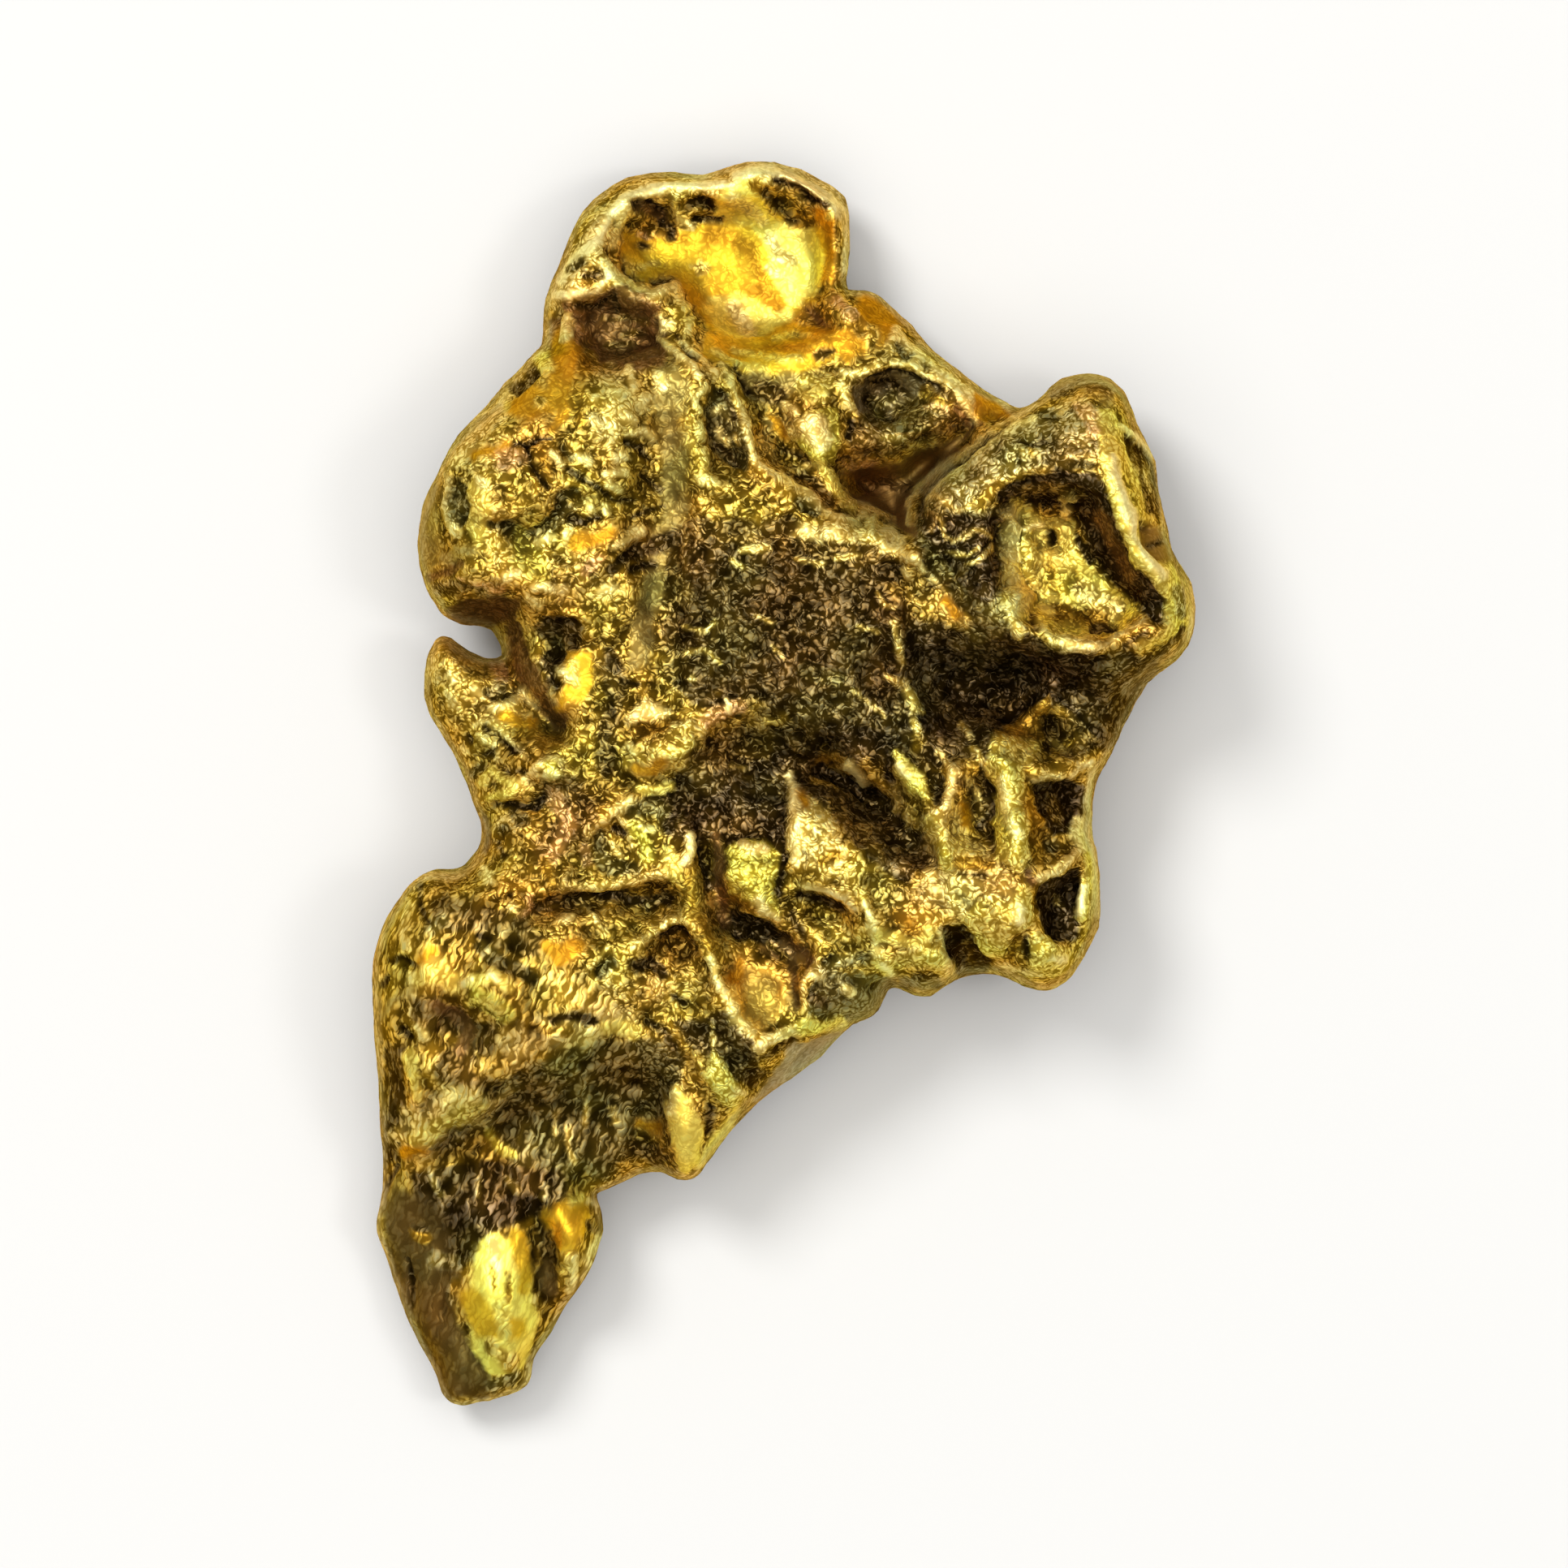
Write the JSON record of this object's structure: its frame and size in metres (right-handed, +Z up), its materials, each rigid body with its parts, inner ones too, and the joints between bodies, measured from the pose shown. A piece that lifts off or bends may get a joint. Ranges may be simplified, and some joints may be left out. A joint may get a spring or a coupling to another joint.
{
  "type": "gold nugget",
  "caption": "Water-worn lump of native gold lying on its back, with a bowl at one end, a tapering leg at the other, ledges, folds, pockets and a pitted skin.",
  "frame": {"origin": "middle of the box's bottom, on the surface that the nugget rests on", "axes": "+Z up, out of the face that shows; +Y along the nugget's length, from the leg's tip to the lobe with the bowl; +X to the right seen from above"},
  "size_m": [0.016, 0.0242, 0.0057],
  "materials": {
    "native_gold": null
  },
  "bodies": {
    "root": {"nugget": "native_gold"}
  },
  "joints": []
}
